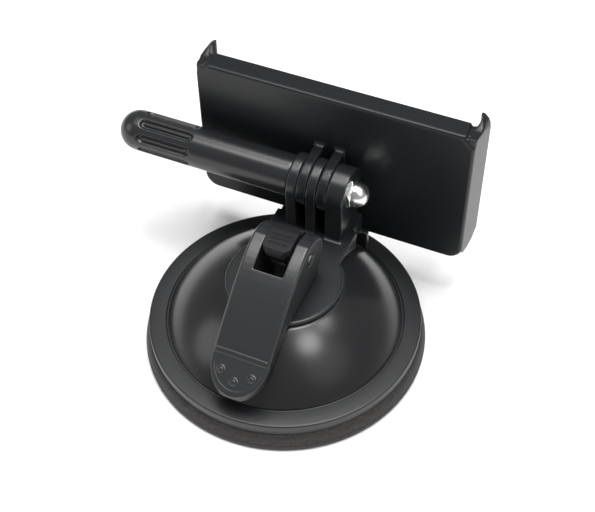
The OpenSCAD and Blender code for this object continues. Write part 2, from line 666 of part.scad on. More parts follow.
module cradle_pads() color([0.1, 0.1, 0.1]) both_sides() translate([12, plate_y + tray_t, tray_low + 9])
    cube([half_w - 12 - 8, grip_pad_t, tray_top - tray_low - 18]);

suction_cup();
cup_insert();
insert_cap();
pull_stud();
return_spring();
base_shell();
swivel_washer();
turret_fork();
hub_keeper();
hub_screws();
lever();
pivot_pin();
lock_slider();
clamp_handle();
clamp_screw();
acorn_nut();
cradle_tray();
cradle_pads();
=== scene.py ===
"""Suction-cup vehicle mount: surfaces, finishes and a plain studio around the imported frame."""

import math

import bmesh
import bpy
from bpy.props import FloatProperty, FloatVectorProperty, IntProperty, PointerProperty
from mathutils import Matrix, Vector


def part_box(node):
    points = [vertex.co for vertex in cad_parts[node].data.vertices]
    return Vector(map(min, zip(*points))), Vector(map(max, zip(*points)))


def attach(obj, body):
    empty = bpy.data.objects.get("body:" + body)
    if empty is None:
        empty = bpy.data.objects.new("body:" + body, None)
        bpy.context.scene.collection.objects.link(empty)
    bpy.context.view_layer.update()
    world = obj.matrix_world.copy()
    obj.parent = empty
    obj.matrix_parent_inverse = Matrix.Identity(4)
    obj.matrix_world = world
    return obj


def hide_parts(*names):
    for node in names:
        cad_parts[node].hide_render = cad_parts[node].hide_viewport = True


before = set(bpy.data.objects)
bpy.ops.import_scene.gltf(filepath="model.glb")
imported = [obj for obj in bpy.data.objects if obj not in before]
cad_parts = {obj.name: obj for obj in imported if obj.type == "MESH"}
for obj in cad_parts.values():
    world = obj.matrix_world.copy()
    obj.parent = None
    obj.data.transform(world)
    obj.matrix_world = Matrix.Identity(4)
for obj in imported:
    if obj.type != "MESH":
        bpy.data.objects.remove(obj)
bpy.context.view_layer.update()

bl_info = {
    "name": "Suction Mount Builder",
    "version": (1, 0, 0),
    "blender": (4, 5, 0),
    "location": "View3D > Sidebar > Mount",
    "description": "Builds the visible pieces of a lever-locked suction mount around its frame",
    "category": "Object",
}

MM = 0.001


# ---------------------------------------------------------------- settings


def size_property(name, default, description):
    """Length in metres that a user may change."""
    return FloatProperty(name=name, default=default, description=description, unit="LENGTH", precision=5)


def angle_property(name, degrees, description):
    """Angle that a user may change, given here in degrees."""
    return FloatProperty(name=name, default=math.radians(degrees), subtype="ANGLE", description=description)


def colour_property(name, default, description):
    """Linear colour that a user may change."""
    return FloatVectorProperty(name=name, default=default, size=3, min=0, max=1, subtype="COLOR",
                               description=description)


class MountShape(bpy.types.PropertyGroup):
    """Sizes of the shapes that are built here"""

    ring_z: size_property("Ring height", 0.00985, "Height of the shell's flat ring")
    ring_w: size_property("Ring width", 0.0058, "Width of the shell's flat ring")
    dome_rise: size_property("Dome rise", 0.01845, "Rise of the full dome above the ring")
    disc_r: size_property("Disc radius", 0.017, "Radius of the swivelling disc")
    turret_cell: size_property("Turret cell", 0.00027, "Size of the turret's surface cells")
    lever_cell: size_property("Lever cell", 0.00021, "Size of the lever's surface cells")
    slider_cell: size_property("Slider cell", 0.00012, "Size of the lock slider's surface cells")
    cradle_cell: size_property("Cradle cell", 0.00038, "Size of the cradle's surface cells")
    nut_cell: size_property("Nut cell", 0.00008, "Size of the nut's surface cells")
    groove_depth: size_property("Groove depth", 0.00105, "Depth of a grip groove in the handle")
    groove_half: size_property("Groove half width", 0.00165, "Half width of a grip groove")
    groove_length: size_property("Groove length", 0.0178, "Length of a grip groove from end to end")
    ridge_height: size_property("Ridge height", 0.0007, "Height of the ridge inside a groove")
    bead: size_property("Bead radius", 0.00024, "Radius of the moulded beads on the lever")
    pad_rib_pitch: size_property("Pad rib pitch", 0.0016, "Pitch of the ribs on the cradle's pads")
    around: IntProperty(name="Steps around", default=256, min=32, max=512,
                        description="Steps around a turned piece")
    grooves: IntProperty(name="Grooves", default=8, min=4, max=12,
                         description="Grip grooves around the handle")


class MountFinish(bpy.types.PropertyGroup):
    """Base colours of the materials"""

    shell: colour_property("Shell", (0.0115, 0.0118, 0.0128), "Polished black of the dome")
    rubber: colour_property("Rubber", (0.0165, 0.0153, 0.015), "Brown-black of the cup")
    turret: colour_property("Turret", (0.0095, 0.0105, 0.0115), "Black of the turret and fork")
    lever: colour_property("Lever", (0.0165, 0.0172, 0.0184), "Dark grey of the lever")
    slider: colour_property("Slider", (0.0095, 0.0098, 0.011), "Black of the lock slider")
    handle: colour_property("Handle", (0.0115, 0.012, 0.013), "Black of the handle")
    cradle: colour_property("Cradle", (0.0085, 0.0095, 0.0105), "Black of the cradle")
    pad: colour_property("Pads", (0.022, 0.022, 0.022), "Black of the grip pads")
    insert: colour_property("Insert", (0.09, 0.09, 0.094), "Grey of the cup's hard centre")
    washer: colour_property("Washer", (0.72, 0.72, 0.68), "Off-white of the slip washer")
    steel: colour_property("Steel", (0.52, 0.53, 0.55), "Plated steel")
    nut: colour_property("Nut", (0.82, 0.82, 0.81), "Polished stainless nut")
    floor: colour_property("Floor", (0.9, 0.9, 0.9), "Pale studio floor")


class MountStage(bpy.types.PropertyGroup):
    """Camera and light"""

    azimuth: angle_property("Azimuth", 24.23, "Camera azimuth")
    elevation: angle_property("Elevation", 48.99, "Camera elevation")
    roll: angle_property("Roll", -1.12, "Camera roll")
    distance: size_property("Distance", 0.3839, "Camera distance from its target")
    target: FloatVectorProperty(name="Target", default=(-0.00892, 0.0295, 0.0), size=3, subtype="XYZ",
                                description="Point at the view's centre")
    lens: FloatProperty(name="Lens", default=72.605, min=20, max=200,
                        description="Focal length in millimetres")
    top: FloatProperty(name="Top", default=2.0, min=0, description="Strength of the light overhead")
    sky: FloatProperty(name="Sky", default=0.3, min=0, description="Strength of the room's even light")


# ---------------------------------------------------------------- node helpers


class NodeBuilder:
    """Adds and joins nodes in one tree."""

    def __init__(self, tree):
        self.tree = tree
        self.nodes = tree.nodes

    def feed(self, socket, value):
        """Links the socket to another one, or sets its value."""
        if isinstance(value, bpy.types.NodeSocket):
            self.tree.links.new(value, socket)
        elif value is not None:
            socket.default_value = value

    def add(self, kind, inputs=None, **settings):
        """Adds a node with its settings and feeds its inputs."""
        node = self.nodes.new(kind)
        for key, value in settings.items():
            setattr(node, key, value)
        for key, value in (inputs or {}).items():
            self.feed(node.inputs[key], value)
        return node

    def math(self, operation, a, b=None, c=None):
        return self.add("ShaderNodeMath", {0: a, 1: b, 2: c}, operation=operation).outputs[0]

    def split(self, vector):
        return self.add("ShaderNodeSeparateXYZ", {0: vector}).outputs

    def ramp(self, value, low, high, to_low=0.0, to_high=1.0):
        """Eased step from one value to another."""
        node = self.add("ShaderNodeMapRange", {0: value, 1: low, 2: high, 3: to_low, 4: to_high},
                        interpolation_type="SMOOTHSTEP")
        return node.outputs[0]


def named_group(kind, name, inputs, outputs):
    """Starts a node group with named sockets, and returns a builder for its inside."""
    tree = bpy.data.node_groups.new(name, kind)
    for label, socket, default in inputs:
        made = tree.interface.new_socket(label, in_out="INPUT", socket_type=socket)
        if default is not None:
            made.default_value = default
    for label, socket in outputs:
        tree.interface.new_socket(label, in_out="OUTPUT", socket_type=socket)
    builder = NodeBuilder(tree)
    builder.source = tree.nodes.new("NodeGroupInput").outputs
    builder.result = tree.nodes.new("NodeGroupOutput").inputs
    return builder


# ---------------------------------------------------------------- shared surface effects

FLOAT, VECTOR = "NodeSocketFloat", "NodeSocketVector"


def moulded_grain():
    """Fine spark-eroded texture of a moulded face, as a height."""
    b = named_group("ShaderNodeTree", "Moulded Grain",
                    [("Scale", FLOAT, 2600.0), ("Softness", FLOAT, 0.5)],
                    [("Height", FLOAT), ("Speckle", FLOAT)])
    place = b.add("ShaderNodeTexCoord").outputs["Object"]
    scale = b.source["Scale"]
    fine = b.add("ShaderNodeTexNoise", {"Vector": place, "Scale": scale, "Detail": 3.0, "Roughness": 0.6})
    cells = b.add("ShaderNodeTexVoronoi", {"Vector": place, "Scale": b.math("MULTIPLY", scale, 0.7)})
    mixed = b.math("MULTIPLY_ADD", cells.outputs["Distance"], b.source["Softness"], fine.outputs[0])
    b.feed(b.result["Height"], mixed)
    b.feed(b.result["Speckle"], b.ramp(fine.outputs[0], 0.35, 0.68))
    return b.tree


def handling_marks():
    """Faint smears and dust that change how polished a face looks."""
    b = named_group("ShaderNodeTree", "Handling Marks",
                    [("Scale", FLOAT, 60.0), ("Rough", FLOAT, 0.3), ("Spread", FLOAT, 0.08)],
                    [("Roughness", FLOAT), ("Dust", FLOAT)])
    place = b.add("ShaderNodeTexCoord").outputs["Object"]
    scale = b.source["Scale"]
    broad = b.add("ShaderNodeTexNoise", {"Vector": place, "Scale": scale, "Detail": 4.0, "Distortion": 0.6})
    speck_scale = b.math("MULTIPLY", scale, 70.0)
    specks = b.add("ShaderNodeTexNoise", {"Vector": place, "Scale": speck_scale, "Detail": 2.0})
    shift = b.math("SUBTRACT", broad.outputs[0], 0.5)
    b.feed(b.result["Roughness"], b.math("MULTIPLY_ADD", shift, b.source["Spread"], b.source["Rough"]))
    up = b.split(b.add("ShaderNodeNewGeometry").outputs["Normal"])[2]
    settled = b.math("MULTIPLY", b.ramp(specks.outputs[0], 0.66, 0.8), b.ramp(up, 0.2, 0.95))
    b.feed(b.result["Dust"], settled)
    return b.tree


def rubbed_edges_and_sheen():
    """Mask of the outward edges, where the colour is painted lighter: partly wear that hands have polished,
    partly a painted edge highlight.
    """
    b = named_group("ShaderNodeTree", "Rubbed Edges And Painted Sheen", [("Start", FLOAT, 0.52), ("Full", FLOAT, 0.6)],
                    [("Mask", FLOAT)])
    point = b.add("ShaderNodeNewGeometry").outputs["Pointiness"]
    place = b.add("ShaderNodeTexCoord").outputs["Object"]
    patch = b.add("ShaderNodeTexNoise", {"Vector": place, "Scale": 420.0, "Detail": 3.0})
    span = b.add("ShaderNodeMapRange", {0: point, 1: b.source["Start"], 2: b.source["Full"]})
    worn = b.ramp(patch.outputs[0], 0.2, 0.75, 0.45, 1.0)
    b.feed(b.result["Mask"], b.math("MULTIPLY", span.outputs[0], worn))
    return b.tree


def turned_lines():
    """Fine tool lines around an axis, from the distance along it."""
    b = named_group("ShaderNodeTree", "Turned Lines", [("Along", FLOAT, 0.0), ("Pitch", FLOAT, 9000.0)],
                    [("Height", FLOAT)])
    place = b.add("ShaderNodeTexCoord").outputs["Object"]
    wobble = b.add("ShaderNodeTexNoise", {"Vector": place, "Scale": 300.0})
    phase = b.math("MULTIPLY_ADD", b.source["Along"], b.source["Pitch"], wobble.outputs[0])
    b.feed(b.result["Height"], b.math("SINE", phase))
    return b.tree


class Finish:
    """One material: a Principled surface fed by the shared effects."""

    def __init__(self, name, colour, roughness, **sockets):
        self.material = bpy.data.materials.new(name)
        self.material.use_nodes = True
        tree = self.material.node_tree
        tree.nodes.clear()
        self.b = NodeBuilder(tree)
        self.shader = self.b.add("ShaderNodeBsdfPrincipled", {"Roughness": roughness})
        self.colour = (*colour, 1.0)
        self.shader.inputs["Base Color"].default_value = self.colour
        for key, value in sockets.items():
            self.shader.inputs[key.replace("_", " ")].default_value = value
        out = self.b.add("ShaderNodeOutputMaterial")
        tree.links.new(self.shader.outputs[0], out.inputs["Surface"])

    def group(self, tree, **inputs):
        """Places a shared effect in the material, with this material's own values."""
        node = self.b.add("ShaderNodeGroup", node_tree=tree)
        for key, value in inputs.items():
            self.b.feed(node.inputs[key], value)
        return node.outputs

    def place(self):
        return self.b.add("ShaderNodeTexCoord").outputs["Object"]

    def tint(self, mask, colour, amount=1.0):
        """Mixes a colour over what the surface has, where the mask says."""
        target = self.shader.inputs["Base Color"]
        before = target.links[0].from_socket if target.links else self.colour
        mix = self.b.add("ShaderNodeMix", data_type="RGBA")
        self.b.feed(mix.inputs[0], self.b.math("MULTIPLY", mask, amount))
        self.b.feed(mix.inputs[6], before)
        self.b.feed(mix.inputs[7], (*colour, 1.0))
        self.b.feed(target, mix.outputs[2])

    def roughness(self, value):
        self.b.feed(self.shader.inputs["Roughness"], value)

    def bump(self, height, distance, strength):
        """Adds a height over what the surface has."""
        target = self.shader.inputs["Normal"]
        node = self.b.add("ShaderNodeBump", {"Height": height, "Distance": distance, "Strength": strength})
        if target.links:
            self.b.feed(node.inputs["Normal"], target.links[0].from_socket)
        self.b.feed(target, node.outputs[0])


GROUPS = {}


def effect(name):
    """Shared node group of an effect, built the first time it is asked for."""
    makers = {"grain": moulded_grain, "marks": handling_marks, "edges": rubbed_edges_and_sheen, "lines": turned_lines}
    if name not in GROUPS:
        GROUPS[name] = makers[name]()
    return GROUPS[name]


def moulded_plastic(name, colour, rough, spread, grain, depth, specular=0.5, edge_wear_and_sheen=0.5, scale=2600.0):
    """Black or grey moulded plastic with grain, smears, a little dust, and outward edges painted lighter as
    rubbed wear and as a painted edge highlight.
    """
    f = Finish(name, colour, rough, Specular_IOR_Level=specular)
    skin = f.group(effect("grain"), Scale=scale, Softness=grain)
    marks = f.group(effect("marks"), Rough=rough, Spread=spread)
    mask = f.group(effect("edges"))["Mask"]
    worn_and_sheen_colour = [min(1.0, c * 2.2 + 0.012) for c in colour]
    f.tint(skin["Speckle"], [c * 1.35 for c in colour], 0.6)
    # Outward edges painted lighter: part rubbed wear, part painted edge highlight.
    f.tint(mask, worn_and_sheen_colour, edge_wear_and_sheen)
    f.tint(marks["Dust"], (0.16, 0.155, 0.15), 0.2)
    f.roughness(marks["Roughness"])
    f.bump(skin["Height"], depth, 0.55)
    return f


def metal(name, colour, rough, axis, pitch, depth=2e-6):
    """Plated or polished steel with fine tool lines."""
    f = Finish(name, colour, rough, Metallic=1.0)
    marks = f.group(effect("marks"), Scale=180.0, Rough=rough, Spread=0.14)
    lines = f.group(effect("lines"), Along=f.b.split(f.place())[axis], Pitch=pitch)
    f.tint(marks["Dust"], (0.2, 0.19, 0.18), 0.4)
    f.roughness(marks["Roughness"])
    f.bump(lines["Height"], depth, 0.4)
    return f


# ---------------------------------------------------------------- shape trees

GEOMETRY, INTEGER, MATERIAL = "NodeSocketGeometry", "NodeSocketInt", "NodeSocketMaterial"


def wound_grid(b, steps):
    """Grid with one row for each profile point and one column for each step around."""
    profile = b.source["Geometry"]
    points = b.add("GeometryNodeAttributeDomainSize", {"Geometry": profile}).outputs["Point Count"]
    columns = b.math("ADD", steps, 1.0)
    grid = b.add("GeometryNodeMeshGrid", {"Size X": 1.0, "Size Y": 1.0, "Vertices X": points,
                                          "Vertices Y": columns})
    index = b.add("GeometryNodeInputIndex").outputs[0]
    row = b.math("FLOOR", b.math("DIVIDE", b.math("ADD", index, 0.5), columns))
    column = b.math("SUBTRACT", index, b.math("MULTIPLY", row, columns))
    angle = b.math("DIVIDE", b.math("MULTIPLY", column, 2 * math.pi), steps)
    sample = b.add("GeometryNodeSampleIndex", {"Geometry": profile, "Index": row}, data_type="FLOAT_VECTOR")
    wanted = next(s for s in sample.inputs if s.name == "Value" and s.enabled)
    b.feed(wanted, b.add("GeometryNodeInputPosition").outputs[0])
    value = next(s for s in sample.outputs if s.enabled)
    return grid.outputs["Mesh"], angle, b.split(value)


def wrapped(b, mesh, radius, angle, height):
    """Moves the grid's points onto circles around Z."""
    x, y = (b.math("MULTIPLY", radius, b.math(turn, angle)) for turn in ("COSINE", "SINE"))
    place = b.add("ShaderNodeCombineXYZ", {0: x, 1: y, 2: height})
    return b.add("GeometryNodeSetPosition", {"Geometry": mesh, "Position": place.outputs[0]}).outputs[0]


def bar_along(b, line, sides, radius):
    """Round bar with closed ends that follows a curve."""
    section = b.add("GeometryNodeCurvePrimitiveCircle", {"Resolution": sides, "Radius": radius})
    return b.add("GeometryNodeCurveToMesh", {"Curve": line, "Profile Curve": section.outputs[0],
                                             "Fill Caps": True}).outputs[0]


def paint_tree(b, geometry):
    """Ends a tree with real geometry in its own material."""
    real = b.add("GeometryNodeRealizeInstances", {"Geometry": geometry}).outputs[0]
    painted = b.add("GeometryNodeSetMaterial", {"Geometry": real, "Material": b.source["Finish"]})
    b.feed(b.result["Geometry"], painted.outputs[0])
    return b.tree


def finish_tree(b, geometry):
    """Closes the seams, shades the surface smooth and ends the tree."""
    merged = b.add("GeometryNodeMergeByDistance", {"Geometry": geometry, "Distance": 2e-7}).outputs[0]
    return paint_tree(b, b.add("GeometryNodeSetShadeSmooth", {"Geometry": merged}).outputs[0])


def turned_tree():
    """Turns the outline held by the object around Z."""
    b = named_group("GeometryNodeTree", "Turned Piece",
                    [("Geometry", GEOMETRY, None), ("Steps", INTEGER, 256), ("Finish", MATERIAL, None)],
                    [("Geometry", GEOMETRY)])
    mesh, angle, at = wound_grid(b, b.source["Steps"])
    return finish_tree(b, wrapped(b, mesh, at[0], angle, at[2]))


def fluted_tree():
    """Turns the outline around Z and presses round-ended grooves with an inner ridge into it."""
    sizes = [("Groove Depth", 0.00085), ("Groove Half Width", 0.00165), ("Groove Length", 0.018),
             ("Groove Middle", 0.04), ("Ridge Height", 0.0005), ("Ridge Half Width", 0.0006),
             ("Bore Radius", 0.004)]
    b = named_group("GeometryNodeTree", "Fluted Grip",
                    [("Geometry", GEOMETRY, None), ("Steps", INTEGER, 256), ("Grooves", INTEGER, 8)]
                    + [(name, FLOAT, size) for name, size in sizes] + [("Finish", MATERIAL, None)],
                    [("Geometry", GEOMETRY)])
    mesh, angle, at = wound_grid(b, b.source["Steps"])
    turn = b.math("DIVIDE", b.math("MULTIPLY", angle, b.source["Grooves"]), 2 * math.pi)
    across = b.math("SUBTRACT", b.math("FRACT", turn), 0.5)
    arc = b.math("DIVIDE", b.math("MULTIPLY", at[0], 2 * math.pi), b.source["Grooves"])
    side = b.math("ABSOLUTE", b.math("MULTIPLY", across, arc))
    along = b.math("ABSOLUTE", b.math("SUBTRACT", at[2], b.source["Groove Middle"]))
    past = b.math("SUBTRACT", along, b.math("MULTIPLY", b.source["Groove Length"], 0.5))
    past = b.math("MAXIMUM", past, 0.0)
    reach = b.math("SQRT", b.math("ADD", b.math("MULTIPLY", side, side), b.math("MULTIPLY", past, past)))
    inside = b.math("SUBTRACT", 1.0, b.math("DIVIDE", reach, b.source["Groove Half Width"]))
    cut = b.math("MULTIPLY", b.ramp(inside, 0.0, 0.42), b.source["Groove Depth"])
    near = b.math("SUBTRACT", 1.0, b.math("DIVIDE", b.math("ADD", side, past), b.source["Ridge Half Width"]))
    ridge = b.math("MULTIPLY", b.ramp(near, 0.0, 0.8), b.source["Ridge Height"])
    outer = b.math("GREATER_THAN", at[0], b.source["Bore Radius"])
    radius = b.math("MULTIPLY_ADD", b.math("SUBTRACT", ridge, cut), outer, at[0])
    return finish_tree(b, wrapped(b, mesh, radius, angle, at[2]))


def coil_tree():
    """Round wire wound into a cylindrical spring."""
    b = named_group("GeometryNodeTree", "Wound Spring",
                    [("Turns", FLOAT, 3.5), ("Radius", FLOAT, 0.0044), ("Height", FLOAT, 0.005),
                     ("Wire", FLOAT, 0.0004), ("Base", VECTOR, (0, 0, 0)), ("Finish", MATERIAL, None)],
                    [("Geometry", GEOMETRY)])
    radius = b.source["Radius"]
    spiral = b.add("GeometryNodeCurveSpiral", {"Resolution": 48, "Rotations": b.source["Turns"],
                                               "Start Radius": radius, "End Radius": radius,
                                               "Height": b.source["Height"]})
    wire = bar_along(b, spiral.outputs[0], 14, b.source["Wire"])
    moved = b.add("GeometryNodeTransform", {"Geometry": wire, "Translation": b.source["Base"]})
    return finish_tree(b, moved.outputs[0])


def ribbed_pad_tree():
    """Flat rubber slab with a row of rounded ribs across its face."""
    b = named_group("GeometryNodeTree", "Ribbed Pad",
                    [("Width", FLOAT, 0.02), ("Height", FLOAT, 0.03), ("Thickness", FLOAT, 0.0008),
                     ("Pitch", FLOAT, 0.0016), ("Rib", FLOAT, 0.0004), ("Centre", VECTOR, (0, 0, 0)),
                     ("Finish", MATERIAL, None)], [("Geometry", GEOMETRY)])
    width, height, thickness, pitch = (b.source[n] for n in ("Width", "Height", "Thickness", "Pitch"))

    def vector(x, y, z):
        return b.add("ShaderNodeCombineXYZ", {0: x, 1: y, 2: z}).outputs[0]

    slab = b.add("GeometryNodeMeshCube", {"Size": vector(width, thickness, height)})
    count = b.math("FLOOR", b.math("DIVIDE", b.math("SUBTRACT", height, pitch), pitch))
    first = b.math("MULTIPLY", b.math("MULTIPLY", b.math("SUBTRACT", count, 1.0), pitch), -0.5)
    face = b.math("MULTIPLY", thickness, 0.5)
    row = b.add("GeometryNodeMeshLine", {"Count": count, "Start Location": vector(0.0, face, first),
                                         "Offset": vector(0.0, 0.0, pitch)})
    half = b.math("SUBTRACT", b.math("MULTIPLY", width, 0.5), 0.8 * MM)
    line = b.add("GeometryNodeCurvePrimitiveLine", {"Start": vector(b.math("MULTIPLY", half, -1.0), 0.0, 0.0),
                                                    "End": vector(half, 0.0, 0.0)})
    rib = bar_along(b, line.outputs[0], 12, b.source["Rib"])
    ribs = b.add("GeometryNodeInstanceOnPoints", {"Points": row.outputs[0], "Instance": rib})
    joined = b.add("GeometryNodeJoinGeometry")
    for part in (slab.outputs[0], ribs.outputs[0]):
        b.tree.links.new(part, joined.inputs[0])
    moved = b.add("GeometryNodeTransform", {"Geometry": joined.outputs[0], "Translation": b.source["Centre"]})
    return paint_tree(b, moved.outputs[0])


def bead_tree():
    """Round bead along the line held by the object."""
    b = named_group("GeometryNodeTree", "Moulded Bead",
                    [("Geometry", GEOMETRY, None), ("Bead", FLOAT, 0.0003), ("Finish", MATERIAL, None)],
                    [("Geometry", GEOMETRY)])
    line = b.add("GeometryNodeMeshToCurve", {"Mesh": b.source["Geometry"]})
    return finish_tree(b, bar_along(b, line.outputs[0], 14, b.source["Bead"]))


# ---------------------------------------------------------------- mesh helpers


def new_object(name, mesh):
    """Object in the scene that holds the mesh, light or camera."""
    made = bpy.data.objects.new(name, mesh)
    bpy.context.scene.collection.objects.link(made)
    return made


def baked(piece):
    """Replaces the piece's modifiers by their result."""
    depsgraph = bpy.context.evaluated_depsgraph_get()
    mesh = bpy.data.meshes.new_from_object(piece.evaluated_get(depsgraph))
    piece.modifiers.clear()
    piece.data = mesh
    mesh.name = piece.name
    return piece


def shaped(piece, tree, values):
    """Runs a shape tree on the piece and keeps the plain mesh."""
    modifier = piece.modifiers.new("Shape", "NODES")
    modifier.node_group = tree
    for item in tree.interface.items_tree:
        if item.item_type == "SOCKET" and item.in_out == "INPUT" and item.name in values:
            modifier[item.identifier] = values[item.name]
    return baked(piece)


def chain(name, points):
    """Object that holds the points, joined in a row by edges."""
    mesh = bpy.data.meshes.new(name)
    mesh.from_pydata(points, [(i, i + 1) for i in range(len(points) - 1)], [])
    return new_object(name, mesh)


def grown(name, tree, values, outline=()):
    """Piece that a shape tree makes from an outline of (radius, height) pairs."""
    return shaped(chain(name, [(r, 0, z) for r, z in outline]), tree, values)


def round_end(radius, start, rise, step, count):
    """Quarter round from a bar's side to its tip, with a point at every step of so many degrees."""
    turns = [math.radians(step * i) for i in range(count)]
    return [(radius * math.cos(t), start + rise * math.sin(t)) for t in turns]


def round_corners(points, steps=5):
    """Outline of (radius, height, fillet) points with each corner rounded by its fillet."""
    made = []
    for i, (x, z, fillet) in enumerate(points):
        here = Vector((x, z))
        before, after = Vector(points[i - 1][:2]), Vector(points[(i + 1) % len(points)][:2])
        if fillet <= 0 or i in (0, len(points) - 1):
            made.append((x, z))
            continue
        back, ahead = before - here, after - here
        reach = min(fillet, back.length * 0.49, ahead.length * 0.49)
        start, end = here + back.normalized() * reach, here + ahead.normalized() * reach
        for k in range(steps + 1):
            t = k / steps
            p = start * (1 - t) ** 2 + here * 2 * t * (1 - t) + end * t * t
            made.append((p.x, p.y))
    return made


def subdivided(points, step):
    """The same outline with no stretch longer than the step."""
    made = [points[0]]
    for a, b in zip(points, points[1:]):
        n = max(1, math.ceil(math.dist(a, b) / step))
        across, up = b[0] - a[0], b[1] - a[1]
        made += [(a[0] + across * k / n, a[1] + up * k / n) for k in range(1, n + 1)]
    return made


def softened(name, node, cell, passes, finish, factor=0.5):
    """Even-celled copy of a frame node whose edges are eased as a mould leaves them."""
    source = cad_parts[node]
    shape = bmesh.new()
    shape.from_mesh(source.data)
    bmesh.ops.remove_doubles(shape, verts=shape.verts, dist=2e-6)
    mesh = bpy.data.meshes.new(name)
    shape.to_mesh(mesh)
    shape.free()
    piece = new_object(name, mesh)
    remesh = piece.modifiers.new("Cells", "REMESH")
    remesh.mode, remesh.voxel_size, remesh.use_smooth_shade = "VOXEL", cell, True
    ease = piece.modifiers.new("Ease", "SMOOTH")
    ease.factor, ease.iterations = factor, passes
    baked(piece)
    if len(piece.data.polygons) < 100:
        raise RuntimeError(f"{name}: the frame node {node} gave no surface")
    piece.data.materials.clear()
    piece.data.materials.append(finish.material)
    for face in piece.data.polygons:
        face.use_smooth = True
    return piece


def draped_bead(name, line, ground, size, finish):
    """Bead that follows (x, y) points laid on the piece below them, sunk in by half its radius."""
    points = []
    for x, y in line:
        hit, place, normal, _ = ground.ray_cast((x, y, 1.0), (0, 0, -1))
        if not hit:
            raise RuntimeError(f"{name}: nothing below the bead at {x:.4f}, {y:.4f}")
        points.append(place - normal * size * 0.5)
    return shaped(chain(name, points), bead_tree(), {"Bead": size, "Finish": finish.material})


def seat(piece, body, slot, *nodes):
    """The piece moves with its body and stands for the nodes, which it hides; the slot is not used."""
    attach(piece, body)
    if nodes:
        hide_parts(*nodes)
    return piece


# ---------------------------------------------------------------- pieces


class PieceOperator(bpy.types.Operator):
    """Shared start of the operators that build one piece"""

    bl_options = {"REGISTER", "UNDO"}

    def execute(self, context):
        self.build(context.scene.mount_shape, context.scene.mount_finish)
        return {"FINISHED"}


class MOUNT_OT_rubber_cup(PieceOperator):
    """Rubber suction cup with its sealing lip and rounded rim"""

    bl_idname = "mount.rubber_cup"
    bl_label = "Rubber cup"

    def build(self, shape, colours):
        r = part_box("suction_cup")[1].x
        f = Finish("Cup rubber", colours.rubber, 0.62, Specular_IOR_Level=0.35)
        skin = f.group(effect("grain"), Scale=1500.0, Softness=0.8)
        marks = f.group(effect("marks"), Scale=90.0, Rough=0.62, Spread=0.16)
        f.tint(skin["Speckle"], (0.062, 0.056, 0.053), 0.55)
        f.tint(marks["Dust"], (0.2, 0.19, 0.175), 0.5)
        f.roughness(marks["Roughness"])
        f.bump(skin["Height"], 2.2e-5, 0.6)
        lip, rim = r - 4.6 * MM, 5.9 * MM
        joint, gap, under = 14.6 * MM, 0.05 * MM, 2.95 * MM
        socket_r, socket_z, socket_roof = 11 * MM, 5.2 * MM, 6.8 * MM
        collar_r, collar_z, collar_out = 7.6 * MM, 8.2 * MM, 13 * MM
        skirt, flank = joint + gap, lip - 12 * MM
        wall = round_corners([
            (skirt, under, 0), (skirt, 5.1 * MM, 0), (flank, 4.7 * MM, 1 * MM),
            (lip - 2 * MM, rim * 0.72, 0.5 * MM), (lip - 0.6 * MM, rim, 0.3 * MM),
            (r - 1.75 * MM, rim, 0.7 * MM), (r - 0.75 * MM, rim * 0.8, 0.7 * MM),
            (r - 0.18 * MM, rim * 0.48, 0.8 * MM), (r - 0.3 * MM, rim * 0.42, 0.12 * MM),
            (r - 0.02 * MM, rim * 0.34, 0.3 * MM), (r, 1.2 * MM, 0.4 * MM),
            (r - 0.14 * MM, 0.4 * MM, 0.3 * MM), (r - 0.5 * MM, 0, 0.2 * MM), (lip, 0, 0.2 * MM),
            (lip - 4 * MM, 0.9 * MM, 1 * MM), (flank, 2.2 * MM, 1 * MM), (skirt, under, 0)])
        core = round_corners([
            (0, socket_z, 0), (socket_r, socket_z, 0.1 * MM), (socket_r, socket_roof, 0.1 * MM),
            (collar_r, socket_roof, 0.05 * MM), (collar_r, collar_z, 0.4 * MM),
            (collar_out, collar_z, 0.6 * MM), (joint, 6.6 * MM, 0.3 * MM), (joint, under, 0.1 * MM),
            (0, 3 * MM, 0)])
        tree = turned_tree()
        values = {"Steps": shape.around, "Finish": f.material}
        seat(grown("cup_rubber_skin", tree, values, wall), "base", "cup_rubber", "suction_cup")
        seat(grown("cup_rubber_core", tree, values, core), "cup_centre", "cup_rubber")


